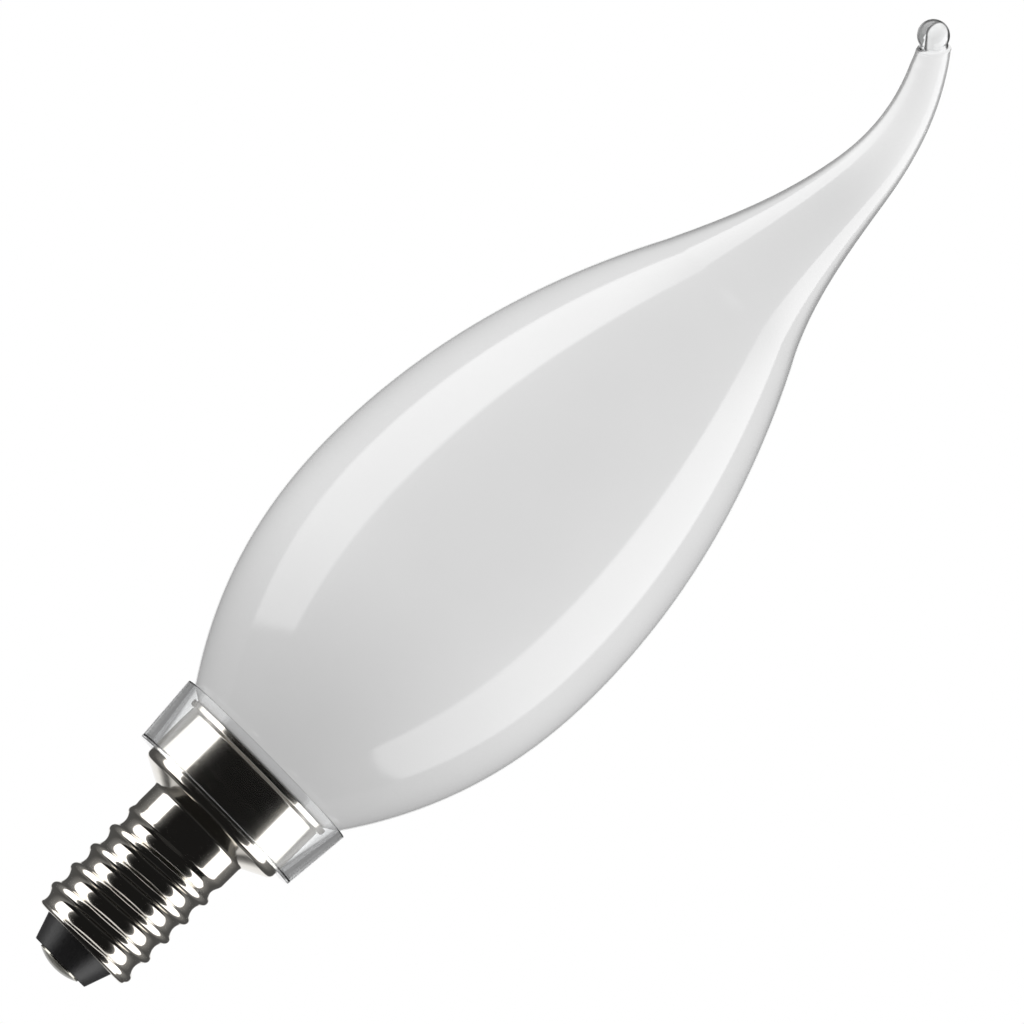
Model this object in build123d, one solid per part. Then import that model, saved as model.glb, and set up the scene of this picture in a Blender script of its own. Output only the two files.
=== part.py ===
from build123d import *
import os

# Candle bulb with a bent tip on a small Edison screw cap, size E12. Millimetres.
# +Z runs along the bulb's axis towards the tip, and the tip leans to -X.
# The origin is the end of the centre contact, where the bulb meets the contact in its lamp holder.

# Centre contact: a domed rivet through the insulator
contact_diameter = 4.8
contact_height = 0.75
contact_edge = 0.15
shank_diameter = 2.4
rivet_diameter = 3.6
rivet_height = 0.5

# Insulator: a cone that fills the end of the shell
insulator_length = 2.6
insulator_end_diameter = 6.5
insulator_chamfer = 0.2
insulator_seat = 2.0

# Screw shell: one drawn sheet, rolled to a right-hand thread
sheet = 0.3
thread_diameter = 11.6
thread_depth = 0.7
thread_pitch = 2.54
thread_length = 13.4
thread_run_out = 1.7
thread_start_angle = 204
lip_width = 0.89
lip_radius = 0.25
band_step = 0.18
band_length = 2.15
band_fillet = 0.45

# Cup at the top of the shell, which holds the neck of the glass
cone_rise = 1.35
cup_diameter = 16.54
cup_height = 6.6
cup_fillet = 0.7
rim_length = 0.6
rim_fillet = 0.3

# Glass: a round body on a straight axis, drawn out to a bent tip. Rises are heights above the mouth of the collar.
mouth_rise = 1.02
mouth_overhang = 1.33
mouth_slope = 0.686
neck_gap = 0.37
neck_depth = 4.6
neck_shoulder = 0.8
neck_fillet = 0.8
belly_diameter = 35.0
belly_rise = 25.9
shoulder_diameter = 17.0
shoulder_rise = 61.15
shoulder_slope = -0.512
tip_diameter = 3.3
tip_rise = 91.8
tip_slope = -0.09
tip_fillet = 0.2
lean_rise = 77.75
lean_offset = 0.65
tip_offset = -4.43
tip_lean = -0.87
end_lean = -1.5
bead_diameter = 3.14
bead_neck_diameter = 2.78
bead_reach = 1.2

# Clear collar: a thin ring that stands clear of the cup and closes on the glass
collar_lift = 0.75
collar_wall = 1.0
collar_gap = 0.5
collar_lip = 0.75
collar_foot = 0.4

# Clearances between neighbouring pieces
seat_clearance = 0.08
rim_clearance = 0.35

# Smoothness of the lofted forms
sections_per_turn = 8
tip_sections = 16

# Levels along the axis, stacked from the contact upwards
insulator_z = contact_height
lip_z = insulator_z + insulator_length
insulator_top_z = lip_z + sheet + insulator_seat
thread_top_z = lip_z + thread_length
band_top_z = thread_top_z + band_length
cup_z = band_top_z + cone_rise
rim_z = cup_z + cup_height
mouth_z = rim_z + mouth_rise
neck_top_z = rim_z - neck_shoulder
neck_end_z = rim_z - neck_depth
belly_z = mouth_z + belly_rise
shoulder_z = mouth_z + shoulder_rise
lean_z = mouth_z + lean_rise
tip_z = mouth_z + tip_rise
collar_z = cup_z + collar_lift

# Radii that follow from one another
thread_throw = thread_depth / 2
thread_mid_r = thread_diameter / 2 - thread_throw
thread_root_r = thread_diameter / 2 - thread_depth
barrel_bore_r = thread_root_r - sheet
lip_bore_r = thread_root_r - lip_width
band_r = thread_diameter / 2 - band_step
cup_r = cup_diameter / 2
neck_r = cup_r - sheet - neck_gap
mouth_r = cup_r + mouth_overhang

# Stations of the glass: height, radius, and change of radius with height
glass_outline = [
    (neck_top_z, neck_r, 0),
    (mouth_z, mouth_r, mouth_slope),
    (belly_z, belly_diameter / 2, 0),
    (shoulder_z, shoulder_diameter / 2, shoulder_slope),
    (tip_z, tip_diameter / 2, tip_slope),
]

# Stations of the tip's middle line: height, place along X, and lean
tip_middle = [
    (shoulder_z, 0, 0),
    (lean_z, lean_offset, 0),
    (tip_z, tip_offset, tip_lean),
]


def span_at(stations, height):
    """The two neighbouring stations that a height lies between."""
    for low, high in zip(stations, stations[1:]):
        if height <= high[0]:
            break
    return low, high


def value_at(stations, height):
    """Cubic through the stations either side, with their slopes."""
    (z0, v0, s0), (z1, v1, s1) = span_at(stations, height)
    span = z1 - z0
    t = (height - z0) / span
    ends = v0 + (v1 - v0) * t * t * (3 - 2 * t)
    return ends + span * t * (1 - t) * (s0 * (1 - t) - s1 * t)


def slope_at(stations, height):
    """Change of that cubic with height."""
    (z0, v0, s0), (z1, v1, s1) = span_at(stations, height)
    t = (height - z0) / (z1 - z0)
    return (v1 - v0) / (z1 - z0) * 6 * t * (1 - t) + s0 * (1 - t) * (1 - 3 * t) + s1 * t * (3 * t - 2)


def tip_plane(height, lean):
    """Plane across the tip at a height, square to a lean along X."""
    centre = (value_at(tip_middle, height), 0, height)
    return Plane(centre, x_dir=(0, 1, 0), z_dir=(lean, 0, 1))


def glass_side(stations, clearance):
    """Curves through stations of the glass, further out by the clearance."""
    curves = []
    for (z0, r0, s0), (z1, r1, s1) in zip(stations, stations[1:]):
        third = (z1 - z0) / 3
        radii = [r0, r0 + s0 * third, r1 - s1 * third, r1]
        heights = [z0, z0 + third, z1 - third, z1]
        curves.append(Bezier(*[(r + clearance, z) for r, z in zip(radii, heights)]))
    return curves


def glass_body(stations, clearance=0):
    """Neck and round body of the glass on the straight axis, up to the last of the stations."""
    side = glass_side(stations, clearance)
    foot = side[0] @ 0
    top = side[-1] @ 1
    core = Polyline((top.X, top.Y), (0, top.Y), (0, neck_end_z), (foot.X, neck_end_z), (foot.X, foot.Y))
    return revolve(Plane.XZ * make_face(side + core.edges()), Axis.Z)


def turned(*outline):
    """Solid turned about the bulb's axis from a closed outline of radius and height."""
    return revolve(Plane.XZ * make_face(Polyline(*outline, close=True)), Axis.Z)


def disc(radius, low, high):
    """Round bar on the bulb's axis between two heights."""
    return Pos(0, 0, low) * Cylinder(radius, high - low, align=(Align.CENTER, Align.CENTER, Align.MIN))


def make_centre_contact():
    """Dome, shank and the head that is riveted over inside."""
    r = contact_diameter / 2
    top = insulator_top_z + rivet_height
    dome = TangentArc((0, 0), (r, contact_height - contact_edge), tangent=(1, 0))
    head = Polyline(
        (r, contact_height - contact_edge),
        (r, contact_height),
        (shank_diameter / 2, contact_height),
        (shank_diameter / 2, insulator_top_z),
        (rivet_diameter / 2, insulator_top_z),
        (rivet_diameter / 2, top),
        (0, top),
        (0, 0),
    )
    return revolve(Plane.XZ * make_face(dome + head), Axis.Z)


def make_insulator():
    """Cone with a chamfered end, and the disc by which the shell's lip holds it."""
    end_r = insulator_end_diameter / 2
    mouth = lip_bore_r - seat_clearance
    seat = barrel_bore_r - seat_clearance
    bore = shank_diameter / 2 + seat_clearance
    return turned(
        (bore, insulator_z),
        (end_r - insulator_chamfer, insulator_z),
        (end_r, insulator_z + insulator_chamfer),
        (mouth, lip_z),
        (mouth, lip_z + sheet),
        (seat, lip_z + sheet),
        (seat, insulator_top_z),
        (bore, insulator_top_z),
    )


def thread_section(height):
    """Circle whose centre goes once round the axis in each pitch, which is a rounded single-start thread.

    Over the run-out the centre comes back to the axis and the circle grows to the plain band.
    """
    run = min(1, (thread_top_z - height) / thread_run_out)
    share = run * run * (3 - 2 * run)
    turn = thread_start_angle + 360 * (height - lip_z) / thread_pitch
    centre = Vector(thread_throw * share, 0, height).rotate(Axis.Z, turn)
    return Plane(centre) * Circle(band_r + (thread_mid_r - band_r) * share)


def make_screw_cap():
    """Threaded barrel with its turned-in lip, plain band, cone and cup, all of one sheet."""
    count = round(sections_per_turn * thread_length / thread_pitch)
    barrel = loft([thread_section(lip_z + thread_length * i / count) for i in range(count + 1)])
    barrel = fillet(barrel.edges().sort_by(Axis.Z)[0], lip_radius)
    barrel -= disc(lip_bore_r, lip_z, thread_top_z)
    barrel -= disc(barrel_bore_r, lip_z + sheet, thread_top_z)
    rim_r = value_at(glass_outline, rim_z) + rim_clearance + sheet
    outside = FilletPolyline(
        (band_r, thread_top_z),
        (band_r, band_top_z),
        (cup_r, cup_z),
        (cup_r, rim_z - rim_length),
        (rim_r, rim_z),
        radius=[band_fillet, cup_fillet, rim_fillet],
    )
    wall = offset(outside, sheet, side=Side.LEFT)
    return barrel + revolve(Plane.XZ * make_face(wall), Axis.Z)


def make_glass_envelope():
    """Neck and flame-shaped body, the bent tip drawn from it, and the bead that seals it."""
    body = glass_body(glass_outline[:4])
    body = fillet(body.edges().sort_by(Axis.Z)[0], neck_fillet)
    step = (tip_z - shoulder_z) / tip_sections
    heights = [shoulder_z + step * i for i in range(tip_sections)]
    end = tip_plane(tip_z, end_lean)
    planes = [tip_plane(z, slope_at(tip_middle, z)) for z in heights] + [end]
    tip = loft([plane * Circle(value_at(glass_outline, z)) for plane, z in zip(planes, heights + [tip_z])])
    tip = fillet(tip.faces().sort_by_distance(end.origin)[0].edges(), tip_fillet)
    stem = end * Cylinder(bead_neck_diameter / 2, 2 * bead_reach)
    bead = end.offset(bead_reach) * Sphere(bead_diameter / 2)
    return body + tip + stem + bead


def make_clear_collar():
    """Tapered ring with a foot round the cup and a lip that follows the glass."""
    foot_r = cup_r + seat_clearance
    bore_low = cup_r + collar_gap
    bore_high = mouth_r + collar_lip - collar_wall
    foot_z = collar_z + collar_foot
    foot_bore = bore_low + (bore_high - bore_low) * collar_foot / (mouth_z - collar_z)
    ring = turned(
        (foot_r, collar_z),
        (bore_low + collar_wall, collar_z),
        (bore_high + collar_wall, mouth_z),
        (bore_high, mouth_z),
        (foot_bore, foot_z),
        (foot_r, foot_z),
    )
    return ring - glass_body(glass_outline[:3], seat_clearance)


parts = {
    "centre_contact": make_centre_contact(),
    "insulator": make_insulator(),
    "screw_cap": make_screw_cap(),
    "glass_envelope": make_glass_envelope(),
    "clear_collar": make_clear_collar(),
}

os.makedirs("parts", exist_ok=True)
for node, solid in parts.items():
    export_step(solid, f"parts/{node}.step")
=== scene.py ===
import logging
import math
from collections.abc import Sequence
from dataclasses import astuple, dataclass
from enum import Enum

import bpy
import numpy as np
from mathutils import Matrix, Vector


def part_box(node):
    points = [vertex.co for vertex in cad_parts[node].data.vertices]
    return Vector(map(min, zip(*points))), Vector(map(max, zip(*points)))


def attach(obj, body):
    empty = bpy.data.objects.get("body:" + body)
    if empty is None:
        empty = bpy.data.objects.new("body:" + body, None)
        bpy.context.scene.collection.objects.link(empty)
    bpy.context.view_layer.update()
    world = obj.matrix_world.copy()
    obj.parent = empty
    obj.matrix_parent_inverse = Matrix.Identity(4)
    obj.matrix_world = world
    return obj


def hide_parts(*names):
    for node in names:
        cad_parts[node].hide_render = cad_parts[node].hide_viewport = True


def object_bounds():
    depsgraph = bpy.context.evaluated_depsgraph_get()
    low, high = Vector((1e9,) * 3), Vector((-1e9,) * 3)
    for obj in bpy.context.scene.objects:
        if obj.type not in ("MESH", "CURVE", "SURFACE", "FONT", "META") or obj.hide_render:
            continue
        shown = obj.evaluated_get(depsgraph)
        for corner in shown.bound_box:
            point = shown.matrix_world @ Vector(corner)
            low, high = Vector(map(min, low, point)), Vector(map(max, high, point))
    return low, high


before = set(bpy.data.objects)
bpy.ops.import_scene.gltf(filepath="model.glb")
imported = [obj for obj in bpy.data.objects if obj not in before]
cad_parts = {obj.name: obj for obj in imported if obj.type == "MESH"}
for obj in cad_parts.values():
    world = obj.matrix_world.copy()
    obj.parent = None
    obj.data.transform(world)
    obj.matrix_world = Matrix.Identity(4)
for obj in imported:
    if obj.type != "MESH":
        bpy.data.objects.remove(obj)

CAD_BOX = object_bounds()
BODY = "root"
MM = 0.001

# Distance in millimetres from a corner at which a divided run gets a point, to keep its shading there
HOLD = 0.03

# Length in millimetres up to which a run of an outline stays whole
SHORT_RUN = 4 * HOLD

# Turn in degrees past which an edge stays sharp
SHARP_TURN = 38.0

# Attribute of the glass's points that holds the thickness of its clear wall
WALL = "wall"

Triple = tuple[float, float, float]
Limits = tuple[float, float]
Socket = bpy.types.NodeSocket

log = logging.getLogger("candle_bulb")


class Node(Enum):
    """CAD nodes that the dressed pieces stand for."""

    GLASS = "glass_envelope"
    COLLAR = "clear_collar"
    CAP = "screw_cap"
    INSULATOR = "insulator"
    CONTACT = "centre_contact"

    def low(self) -> float:
        """Lowest height of the node, in millimetres."""
        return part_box(self.value)[0].z / MM

    def high(self) -> float:
        """Highest height of the node, in millimetres."""
        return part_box(self.value)[1].z / MM

    def radius(self) -> float:
        """Radius of the widest circle about the bulb's axis in the node's box, in millimetres."""
        low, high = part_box(self.value)
        return min(-low.x, -low.y, high.x, high.y) / MM


class Slot(Enum):
    """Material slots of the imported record."""

    WHITE_GLASS = "white_glass"
    CLEAR_PLASTIC = "clear_plastic"
    NICKEL = "nickel_plate"
    BLACK = "black_insulator"
    CONTACT = "contact_metal"


class Ends(Enum):
    """How a surface closes at its first and last rows."""

    LOOP = "the last row joins the first"
    POLES = "each end row closes on a point at its middle"


# Surfaces

def eased(value: np.ndarray, low: float, high: float) -> np.ndarray:
    """Share from 0 to 1 as a value goes from low to high, eased at both ends: t * t * (3 - 2 * t)."""
    t = np.clip((value - low) / (high - low), 0, 1)
    return t * t * (3 - 2 * t)


def angles_round(columns: int) -> np.ndarray:
    """Angles in radians of points spaced evenly round a circle."""
    return np.arange(columns) * math.tau / columns


def hermite(stations: np.ndarray, heights: np.ndarray) -> tuple[np.ndarray, np.ndarray]:
    """Smooth curve through stations of height, value and slope.

    Between two stations it is the cubic that has their values and slopes: the ends are joined by
    t * t * (3 - 2 * t), and each slope adds its span times t * (1 - t) times its own share of t.

    Args:
        stations: rows of height, value and slope, rising in height.
        heights: heights at which the curve is wanted.

    Returns:
        The values and the slopes at those heights.
    """
    place = np.clip(np.searchsorted(stations[:, 0], heights, side="right") - 1, 0, len(stations) - 2)
    z0, v0, s0 = stations[place].T
    z1, v1, s1 = stations[place + 1].T
    span = z1 - z0
    t = (heights - z0) / span
    values = v0 + (v1 - v0) * t * t * (3 - 2 * t) + span * t * (1 - t) * (s0 * (1 - t) - s1 * t)
    slopes = (v1 - v0) / span * 6 * t * (1 - t) + s0 * (1 - t) * (1 - 3 * t) + s1 * t * (3 * t - 2)
    return values, slopes


def rounded(
    corners: Sequence[tuple[float, float]],
    radii: Sequence[float],
    steps: int,
    closed: bool,
) -> np.ndarray:
    """Outline of straight runs whose corners are tangent arcs.

    An arc starts and ends at its radius times the tangent of half the turn from the corner, and its
    points are the corner's two tangent points turned about the arc's middle.

    Args:
        corners: corner points of radius and height.
        radii: radius of each corner's arc, 0 for a sharp one; an open outline has none at its ends.
        steps: points on each arc.
        closed: whether the last corner runs on to the first.

    Returns:
        Points of radius and height.
    """
    points = np.asarray(corners, float)
    count = len(points)
    outline = []
    for i, radius in enumerate(radii if closed else [0, *radii, 0]):
        before, corner, after = points[i - 1], points[i], points[(i + 1) % count]
        if radius == 0:
            outline.append(corner[None])
            continue
        run_in = (corner - before) / np.linalg.norm(corner - before)
        run_out = (after - corner) / np.linalg.norm(after - corner)
        turn = math.atan2(run_in[0] * run_out[1] - run_in[1] * run_out[0], run_in @ run_out)
        start = corner - run_in * radius * math.tan(abs(turn) / 2)
        side = math.copysign(radius, turn) * np.array([-run_in[1], run_in[0]])
        angles = np.linspace(0, abs(turn), steps)[:, None]
        outline.append(start + side - side * np.cos(angles) + run_in * np.sin(angles) * radius)
    return np.concatenate(outline)


def divided(outline: np.ndarray, longest: float, closed: bool) -> np.ndarray:
    """Outline with its long runs divided into equal parts, none longer than asked.

    A point close to each end of a long run keeps the shading of a round corner on the corner.

    Args:
        outline: points of radius and height.
        longest: longest part of a run.
        closed: whether the last point runs on to the first.

    Returns:
        Points of radius and height.
    """
    path = np.concatenate([outline, outline[:1]]) if closed else outline
    lengths = np.linalg.norm(np.diff(path, axis=0), axis=1)
    along = []
    for i, length in enumerate(lengths):
        along.append([i])
        if length > SHORT_RUN:
            margin = HOLD / length
            along.append(i + np.linspace(margin, 1 - margin, math.ceil(length / longest) + 1))
    if not closed:
        along.append([len(lengths)])
    place = np.concatenate(along)
    index = np.arange(len(path))
    return np.stack([np.interp(place, index, path[:, 0]), np.interp(place, index, path[:, 1])], axis=1)


def rings(radii: np.ndarray, heights: np.ndarray, columns: int) -> np.ndarray:
    """Rings about the bulb's axis, whose X and Y are the radius times the cosine and the sine of the angle.

    Args:
        radii: radius of each ring, rows by 1, or of each of its points, rows by columns.
        heights: height of each ring, rows by 1.
        columns: points on each ring.

    Returns:
        Grid of points, rows by columns.
    """
    angles = angles_round(columns)
    return np.stack(np.broadcast_arrays(radii * np.cos(angles), radii * np.sin(angles), heights), axis=-1)


def turned(outline: np.ndarray, columns: int) -> np.ndarray:
    """Outline of radius and height turned about the bulb's axis, as a grid of rows by columns."""
    return rings(outline[:, :1], outline[:, 1:], columns)


def faces_of(rows: int, columns: int, ends: Ends) -> tuple[np.ndarray, np.ndarray]:
    """Faces of a grid that is closed round its columns, which face outwards where rows run upwards.

    Args:
        rows: rows of the grid.
        columns: points in each row.
        ends: how the first and last rows close.

    Returns:
        The grid's quads, and the triangles that close it on two more points at its poles.
    """
    here = np.arange(columns)
    beside = np.roll(here, -1)
    low = np.arange(rows if ends is Ends.LOOP else rows - 1)[:, None] * columns
    high = (low + columns) % (rows * columns)
    quads = np.stack([low + here, low + beside, high + beside, high + here], axis=-1).reshape(-1, 4)
    if ends is Ends.LOOP:
        return quads, np.empty((0, 3), int)
    first, last = rows * columns, rows * columns + 1
    top = (rows - 1) * columns
    foot = np.stack([beside, here, np.full(columns, first)], axis=-1)
    head = np.stack([top + here, top + beside, np.full(columns, last)], axis=-1)
    return quads, np.concatenate([foot, head])


@dataclass
class Shell:
    """One closed surface of a piece.

    Attributes:
        grid: points in millimetres, rows by columns.
        ends: how its first and last rows close.
    """

    grid: np.ndarray
    ends: Ends

    def points(self) -> np.ndarray:
        """Lists the points of the shell.

        Returns:
            All points, the two poles last where it has them.
        """
        flat = self.grid.reshape(-1, 3)
        if self.ends is Ends.LOOP:
            return flat
        return np.concatenate([flat, self.grid[[0, -1]].mean(axis=1)])


def make_piece(
    name: str,
    shells: Sequence[Shell],
    materials: Sequence[bpy.types.Material],
) -> bpy.types.Object:
    """Object made of shells, each with its own material, at the origin of the frame.

    Args:
        name: name of the piece.
        shells: closed surfaces in millimetres.
        materials: one material for each shell.

    Returns:
        The new object.
    """
    points, faces, finish = [], [], []
    start = 0
    for index, shell in enumerate(shells):
        quads, fans = faces_of(*shell.grid.shape[:2], shell.ends)
        points.append(shell.points())
        faces += (quads + start).tolist() + (fans + start).tolist()
        finish += [index] * (len(quads) + len(fans))
        start += len(points[-1])
    mesh = bpy.data.meshes.new(name)
    mesh.from_pydata(np.concatenate(points) * MM, [], faces)
    for material in materials:
        mesh.materials.append(material)
    mesh.polygons.foreach_set("material_index", finish)
    mesh.polygons.foreach_set("use_smooth", np.ones(len(faces), bool))
    mesh.set_sharp_from_angle(angle=math.radians(SHARP_TURN))
    mesh.validate()
    mesh.update()
    piece = bpy.data.objects.new(name, mesh)
    bpy.context.scene.collection.objects.link(piece)
    return piece


def give_attribute(piece: bpy.types.Object, name: str, values: np.ndarray) -> None:
    """Gives each point of a piece a number of its own, under a name that a material can read."""
    piece.data.attributes.new(name, "FLOAT", "POINT").data.foreach_set("value", values)


def seat_piece(piece: bpy.types.Object, node: Node) -> None:
    """Lets a piece ride on the bulb in place of a CAD node and reports it.

    Args:
        piece: the dressed piece.
        node: the CAD node that it stands for.
    """
    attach(piece, BODY)
    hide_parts(node.value)
    points = len(piece.data.vertices)
    triangles = sum(len(face.vertices) - 2 for face in piece.data.polygons)
    log.info("%s stands for %s: %d points, %d triangles", piece.name, node.value, points, triangles)


def let_light_through(piece: bpy.types.Object) -> None:
    """Lets soft light reach what is inside a clear piece, which then casts no shadow."""
    piece.visible_shadow = False
    piece.visible_diffuse = False


# Finishes

@dataclass(frozen=True)
class Grain:
    """Fine pattern of a finish.

    Attributes:
        scale: patches in a metre.
        detail: octaves of finer pattern.
        stretch: how much finer it is along X, Y and Z.
        depth: depth in millimetres where it is a relief.
    """

    scale: float
    detail: float
    stretch: Triple = (1, 1, 1)
    depth: float = 0.0


class NodeTree:
    """Node tree of a material or the world, with short calls to add and join nodes."""

    def __init__(self, owner: bpy.types.Material | bpy.types.World) -> None:
        """Empties the owner's tree."""
        owner.use_nodes = True
        self.tree = owner.node_tree
        self.tree.nodes.clear()

    def add(self, kind: str, inputs: dict | None = None, **settings: object) -> bpy.types.Node:
        """Adds a node.

        Args:
            kind: the node's type, without the word ShaderNode.
            inputs: a value, or another node's output to join, for each named or numbered socket.
            settings: the node's own properties.

        Returns:
            The new node.
        """
        node = self.tree.nodes.new("ShaderNode" + kind)
        for name, value in settings.items():
            setattr(node, name, value)
        for socket, value in (inputs or {}).items():
            if isinstance(value, Socket):
                self.tree.links.new(value, node.inputs[socket])
            else:
                node.inputs[socket].default_value = value
        return node

    def attribute(self, name: str) -> Socket:
        """Number that each point of the piece has under a name."""
        return self.add("Attribute", attribute_name=name).outputs["Fac"]

    def place(self) -> Socket:
        """Place on the piece, in its own coordinates."""
        return self.add("TexCoord").outputs["Object"]

    def edge_on(self) -> Socket:
        """How far the surface has turned away, from 0, square on, to 1, edge on."""
        return self.add("LayerWeight", {"Blend": 0.5}).outputs["Facing"]

    def calc(self, operation: str, first: Socket, second: Socket | float = 0.0) -> Socket:
        """Outcome of a sum with one number or two."""
        return self.add("Math", {0: first, 1: second}, operation=operation).outputs[0]

    def eased(self, value: Socket, low: float, high: float, most: float = 1.0) -> Socket:
        """Number that rises from 0 to the most as a value goes from low to high, eased at both ends."""
        sockets = {"Value": value, "From Min": low, "From Max": high, "To Max": most}
        return self.add("MapRange", sockets, interpolation_type="SMOOTHSTEP").outputs["Result"]

    def height(self, low: float, high: float) -> Socket:
        """Share from 0 to 1 between two heights of the bulb in millimetres, eased at both ends."""
        return self.eased(self.add("SeparateXYZ", {0: self.place()}).outputs["Z"], low * MM, high * MM)

    def between(self, share: Socket, low: float, high: float) -> Socket:
        """Number that goes from low to high as a share goes from 0 to 1."""
        return self.add("MapRange", {"Value": share, "To Min": low, "To Max": high}).outputs["Result"]

    def blend(self, share: Socket, first: object, second: object) -> Socket:
        """Colour that goes from the first to the second as a share goes from 0 to 1."""
        return self.add("Mix", {0: share, 6: first, 7: second}, data_type="RGBA").outputs[2]

    def noise(self, grain: Grain) -> Socket:
        """Noise in the piece's own coordinates.

        Args:
            grain: the pattern's scale, detail and stretch.

        Returns:
            The noise, from 0 to 1.
        """
        mapped = self.add("Mapping", {"Vector": self.place(), "Scale": grain.stretch})
        sockets = {"Vector": mapped.outputs[0], "Scale": grain.scale, "Detail": grain.detail}
        return self.add("TexNoise", sockets).outputs[0]

    def bump(self, height: Socket, depth: float) -> Socket:
        """Normal of a surface whose relief is the height times a depth in millimetres."""
        return self.add("Bump", {"Strength": 1.0, "Distance": depth * MM, "Height": height}).outputs[0]

    def relief(self, grain: Grain) -> Socket:
        """Normal of a surface whose relief is a pattern of its own depth."""
        return self.bump(self.noise(grain), grain.depth)

    def finish(self, shader: bpy.types.Node, target: str = "OutputMaterial") -> None:
        """Joins a shader to the tree's output."""
        self.add(target, {"Surface": shader.outputs[0]})


def rgba(*colour: float) -> tuple[float, float, float, float]:
    """Opaque colour from a grey, or from red, green and blue."""
    red, green, blue = colour * 3 if len(colour) == 1 else colour
    return (red, green, blue, 1.0)


@dataclass(frozen=True)
class WhiteGlass:
    """Smooth glass with a white coating inside.

    The coating's grey carries painted shade near the neck, where less light gets in, and painted light that
    brightens the drawn-out tip, whose thick clear wall shows as a grey line along its edges.

    Attributes:
        coating: grey of the coating.
        neck_shade: share of that grey that is left at the neck, as painted shade.
        tip_white: grey of the coating in the tip, brightened as painted light.
        cloud: how much the coating's thickness shades it.
        clouds: pattern of that thickness.
        ripple: faint waves of blown glass.
        roughness: roughness of the glass.
        ior: index of refraction.
        gloss: specular level of the body.
        tip_gloss: specular level of the drawn-out tip, which is finely drawn.
        wall: how far the thickest wall has turned away where it starts to show clear.
        wall_soft: how much further it has turned where it is clearest.
        wall_clear: how clear the thickest wall is there.
    """

    coating: float = 0.79
    neck_shade: float = 0.79
    tip_white: float = 0.91
    cloud: float = 0.02
    clouds: Grain = Grain(90, 4)
    ripple: Grain = Grain(60, 2, (1, 1, 0.4), 0.01)
    roughness: float = 0.05
    ior: float = 1.5
    gloss: float = 0.5
    tip_gloss: float = 0.2
    wall: float = 0.36
    wall_soft: float = 0.16
    wall_clear: float = 0.58

    def material(self, neck: float, lit: float, drawn: float, tube: float) -> bpy.types.Material:
        """White glass material.

        Args:
            neck: height of the neck in millimetres.
            lit: height in millimetres above which the coating has no painted neck shade.
            drawn: height in millimetres where the tip's painted brightening and lower gloss start.
            tube: height in millimetres above which they are full.

        Returns:
            The material.
        """
        material = bpy.data.materials.new("white_glass")
        tree = NodeTree(material)
        clouds = tree.noise(self.clouds)
        # Painted shade: the coating's grey is darker near the neck, up to the height lit
        shades = [self.coating * self.neck_shade, self.coating, self.tip_white]
        dim, full, bright = (tree.blend(clouds, rgba(v - self.cloud), rgba(v + self.cloud)) for v in shades)
        # Painted light: the coating is brighter in the tip, which also has a lower specular level
        tip = tree.height(drawn, tube)
        thickness = tree.attribute(WALL)
        away = tree.calc("MULTIPLY", tree.edge_on(), thickness)
        clear = tree.eased(away, self.wall, self.wall + self.wall_soft, self.wall_clear)
        tree.finish(tree.add("BsdfPrincipled", {
            "Base Color": tree.blend(tip, tree.blend(tree.height(neck, lit), dim, full), bright),
            "Roughness": self.roughness,
            "IOR": self.ior,
            "Specular IOR Level": tree.between(tip, self.gloss, self.tip_gloss),
            "Transmission Weight": tree.calc("MULTIPLY", thickness, clear),
            "Normal": tree.relief(self.ripple),
        }))
        return material


@dataclass(frozen=True)
class ClearGlass:
    """Solid clear glass of the bead, with painted shade where it turns edge on, and the faint ripple of a
    melted drop.

    Attributes:
        tint: colour of the glass.
        edge: colour of the painted shade on its edges.
        edge_limits: how far the surface has turned away where the painted shade starts, and where it is
            darkest.
        ripple: faint waves of the surface.
        roughness: roughness of the surface.
        ior: index of refraction.
    """

    tint: Triple = (0.97, 0.98, 0.98)
    edge: Triple = (0.07, 0.07, 0.07)
    edge_limits: Limits = (0.42, 0.62)
    ripple: Grain = Grain(500, 2, depth=0.01)
    roughness: float = 0.0
    ior: float = 1.45

    def material(self) -> bpy.types.Material:
        """Clear glass material.

        Returns:
            The material.
        """
        material = bpy.data.materials.new("clear_glass")
        tree = NodeTree(material)
        # Painted shade: the glass's colour darkens as it turns edge on
        edge = tree.eased(tree.edge_on(), *self.edge_limits)
        tree.finish(tree.add("BsdfPrincipled", {
            "Base Color": tree.blend(edge, rgba(*self.tint), rgba(*self.edge)),
            "Roughness": self.roughness,
            "IOR": self.ior,
            "Transmission Weight": 1.0,
            "Normal": tree.relief(self.ripple),
        }))
        return material


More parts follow.
